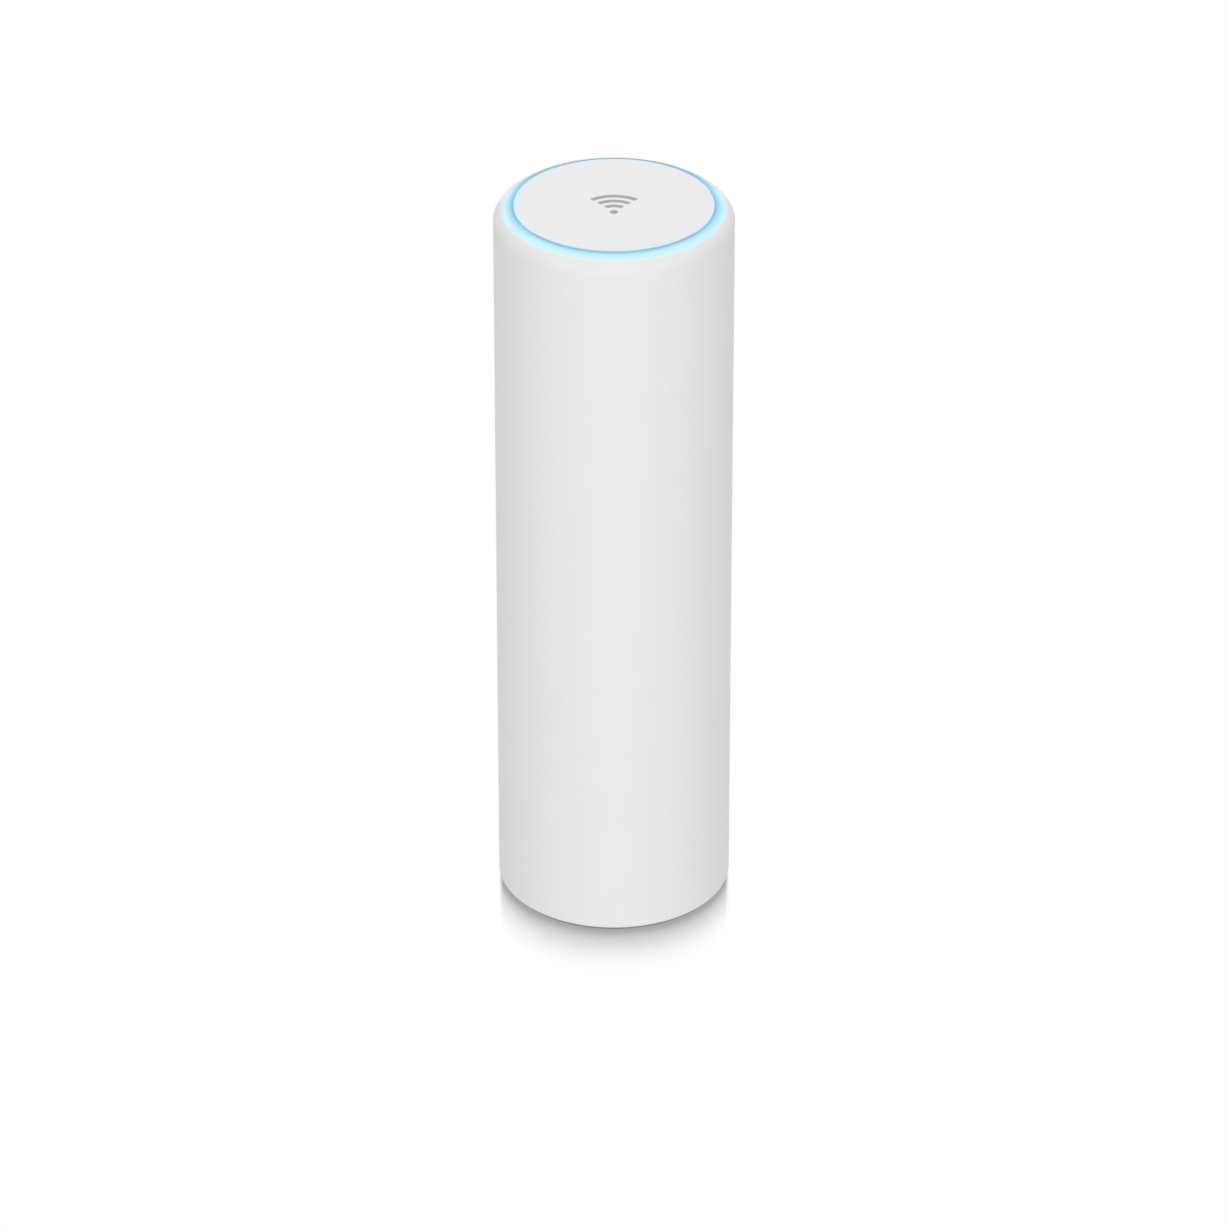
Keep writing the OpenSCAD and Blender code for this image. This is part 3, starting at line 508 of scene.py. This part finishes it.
# The dot's place in front of the axis, and the arcs about it. Their ends are in degrees.
MARK_Y = -5.2 * MM
DOT_R = 1.3 * MM
DOT_STEPS = 40
ARCS = 3
ARC_FIRST = 3.2 * MM
ARC_STEP = 3.3 * MM
ARC_WIDTH = 1.75 * MM
ARC_START = 50
ARC_END = 130
ARC_STEPS = 28


def arc_points(radius, start, end, steps):
    """Points along an arc about the dot's centre, between two angles in degrees."""
    angles = [math.radians(start + (end - start) * i / steps) for i in range(steps + 1)]
    return [(radius * math.cos(angle), MARK_Y + radius * math.sin(angle)) for angle in angles]


def mark_outlines():
    """The dot, then each curved bar: out along its outer side and back along its inner side."""
    outlines = [arc_points(DOT_R, 0, 360, DOT_STEPS)[:-1]]
    for i in range(ARCS):
        inner = ARC_FIRST + ARC_STEP * i
        outer_side = arc_points(inner + ARC_WIDTH, ARC_START, ARC_END, ARC_STEPS)
        inner_side = arc_points(inner, ARC_START, ARC_END, ARC_STEPS)
        outlines.append(outer_side + inner_side[::-1])
    return outlines


def mark_mesh():
    """The outlines as flat bodies, half above the cap's top and half in it."""
    mesh = bmesh.new()
    for outline in mark_outlines():
        face = mesh.faces.new([mesh.verts.new((x, y, HEIGHT - INK)) for x, y in outline])
        made = bmesh.ops.extrude_face_region(mesh, geom=[face])["geom"]
        top = [item for item in made if isinstance(item, bmesh.types.BMVert)]
        bmesh.ops.translate(mesh, vec=(0, 0, 2 * INK), verts=top)
    bmesh.ops.recalc_face_normals(mesh, faces=mesh.faces)
    data = bpy.data.meshes.new("printed_mark")
    mesh.to_mesh(data)
    mesh.free()
    return data


def printed_mark():
    """Three arcs over a dot, in grey ink: the plain sign for a radio signal."""
    mark = added("printed_mark", mark_mesh())
    mark.data.materials.append(ink_finish())
    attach(mark, "housing")


# ---------------------------------------------------------------- stage, light and camera

FLOOR_HALF = 6.0
FLOOR_Z = -0.05 * MM
FLOOR_TONE = 0.12
# What the rays that light the object find on the floor
FLOOR_BOUNCE = 0.7
# Share of plain white that the camera sees in the floor: least close under the tower's rounded edge,
# which paints shade there
CONTACT_SHARE = 0.05
CONTACT_START = BODY_R - 2.1 * MM
CONTACT_END = BODY_R - 1.1 * MM
FLOOR_SHARE = 0.325
# It rises with this power of the distance aside, to all of it past the tower's sides, where it paints the
# shadow out
SIDE_POWER = 30

# A row of narrow lamps overhead, leaning back, that only the table top takes light from. Each throws
# the tower's shadow a little further to the front than the one before it, and more weakly.
FLOOR_LIGHT = 7.9
FLOOR_LAMPS = 32
FLOOR_LAMP_ANGLE = 0.25
SHADOW_FIRST = 0.25 * MM
SHADOW_STEP = 1 * MM
SHADOW_FADE = 12.5 * MM


def floor_share(shader):
    """Share of plain white that the camera sees in the floor, lowered as painted shade close under the tower.
    """
    near = shader.spread(shader.radius(), CONTACT_START, CONTACT_END, CONTACT_SHARE, FLOOR_SHARE)
    x, _, _ = shader.axes()
    aside = shader.math("DIVIDE", shader.math("ABSOLUTE", x), BODY_R)
    return shader.math("MAXIMUM", near, shader.math("POWER", aside, SIDE_POWER), clamp=True)


def floor_finish():
    """Rays that light the object find the floor evenly pale, the camera sees it keep the shadow, and
    from below it is clear."""
    shader = Shader("floor_white")
    shader.tree.nodes.remove(shader.bsdf)
    mirrored = shader.is_any("Is Glossy Ray", "Is Transmission Ray")
    even = shader.add("ShaderNodeEmission")
    shader.link(shader.spread(mirrored, 0.0, 1.0, FLOOR_BOUNCE, 1.0), even.inputs["Strength"])
    shaded = shader.add("ShaderNodeBsdfDiffuse")
    shaded.inputs["Color"].default_value = (FLOOR_TONE, FLOOR_TONE, FLOOR_TONE, 1.0)
    white = shader.add("ShaderNodeEmission")
    seen = shader.either(floor_share(shader), shaded.outputs[0], white.outputs[0])
    above = shader.either(shader.is_any("Is Camera Ray"), even.outputs[0], seen)
    clear = shader.add("ShaderNodeBsdfTransparent")
    from_below = shader.add("ShaderNodeNewGeometry").outputs["Backfacing"]
    surface = shader.either(from_below, above, clear.outputs[0])
    shader.link(surface, shader.tree.nodes["Material Output"].inputs["Surface"])
    return shader.material


def floor():
    """White table top, just under the foot."""
    signs = ((-1, -1), (1, -1), (1, 1), (-1, 1))
    corners = [(x * FLOOR_HALF, y * FLOOR_HALF, FLOOR_Z) for x, y in signs]
    data = bpy.data.meshes.new("floor")
    data.from_pydata(corners, [], [(0, 1, 2, 3)])
    data.materials.append(floor_finish())
    plane = added("floor", data)
    return plane


def floor_lamps(plane):
    """The row of lamps that draws the shadow on the table top and lights nothing else."""
    only_floor = bpy.data.collections.new("floor_only")
    only_floor.objects.link(plane)
    reaches = [SHADOW_FIRST + SHADOW_STEP * i for i in range(FLOOR_LAMPS)]
    shares = [math.exp(-reach / SHADOW_FADE) for reach in reaches]
    for reach, share in zip(reaches, shares):
        data = bpy.data.lights.new("overhead", "SUN")
        data.energy = FLOOR_LIGHT * math.pi * share / sum(shares)
        data.angle = math.radians(FLOOR_LAMP_ANGLE)
        lamp = added("overhead", data)
        lamp.rotation_euler = (-math.atan(reach / HEIGHT), 0, 0)
        lamp.light_linking.receiver_collection = only_floor


# Three broad soft lights in the sky, with little between them: how strong each is, and the power that
# gathers it about its direction
SKY_BASE = 0.1
SKY_FRONT = (2.3, 3.0)
SKY_BACK = (1.4, 2.0)
SKY_ABOVE = (0.92, 2.0)


def panel(tree, facing, light):
    """Light that fades away from the direction where facing is 1."""
    strength, power = light
    shape = tree.math("POWER", tree.math("MAXIMUM", facing, 0.0), power)
    return tree.math("MULTIPLY", shape, strength)


def sky_level(tree):
    """How bright the sky is in each direction, for the rays that light the object."""
    _, back, up = tree.split(tree.add("ShaderNodeTexCoord").outputs["Generated"])
    front = tree.math("MULTIPLY", back, -1.0)
    level = tree.math("ADD", panel(tree, front, SKY_FRONT), panel(tree, back, SKY_BACK))
    level = tree.math("ADD", level, panel(tree, up, SKY_ABOVE))
    return tree.math("ADD", level, SKY_BASE)


def background(tree):
    """Plain white, at a strength of 1 unless one is linked."""
    node = tree.add("ShaderNodeBackground")
    node.inputs["Color"].default_value = (1.0, 1.0, 1.0, 1.0)
    return node


def sky():
    """The world: soft lights for the object, and plain white for the camera and for reflections."""
    world = bpy.data.worlds.new("studio")
    bpy.context.scene.world = world
    world.use_nodes = True
    world.node_tree.nodes.clear()
    tree = Tree(world.node_tree)
    lit = background(tree)
    tree.link(sky_level(tree), lit.inputs["Strength"])
    plainly_seen = tree.is_any("Is Camera Ray", "Is Glossy Ray", "Is Transmission Ray")
    chosen = tree.either(plainly_seen, lit.outputs[0], background(tree).outputs[0])
    tree.link(chosen, tree.add("ShaderNodeOutputWorld").inputs["Surface"])


# The camera's place in metres, and how many degrees it looks down by
SENSOR_MM = 36
LENS_MM = 208.9
CAMERA_AWAY = 1.963
CAMERA_UP = 1.258
LOOKS_DOWN = 30.61


def camera():
    """Long lens from the front, looking down at the cap."""
    data = bpy.data.cameras.new("camera")
    data.sensor_width = SENSOR_MM
    data.lens = LENS_MM
    data.clip_start = 0.1
    data.clip_end = 100
    seen_from = added("camera", data)
    seen_from.location = (0, -CAMERA_AWAY, CAMERA_UP)
    seen_from.rotation_euler = (math.radians(90 - LOOKS_DOWN), 0, 0)
    bpy.context.scene.camera = seen_from


bpy.context.scene.view_settings.view_transform = "Standard"
dress()
printed_mark()
floor_lamps(floor())
sky()
camera()
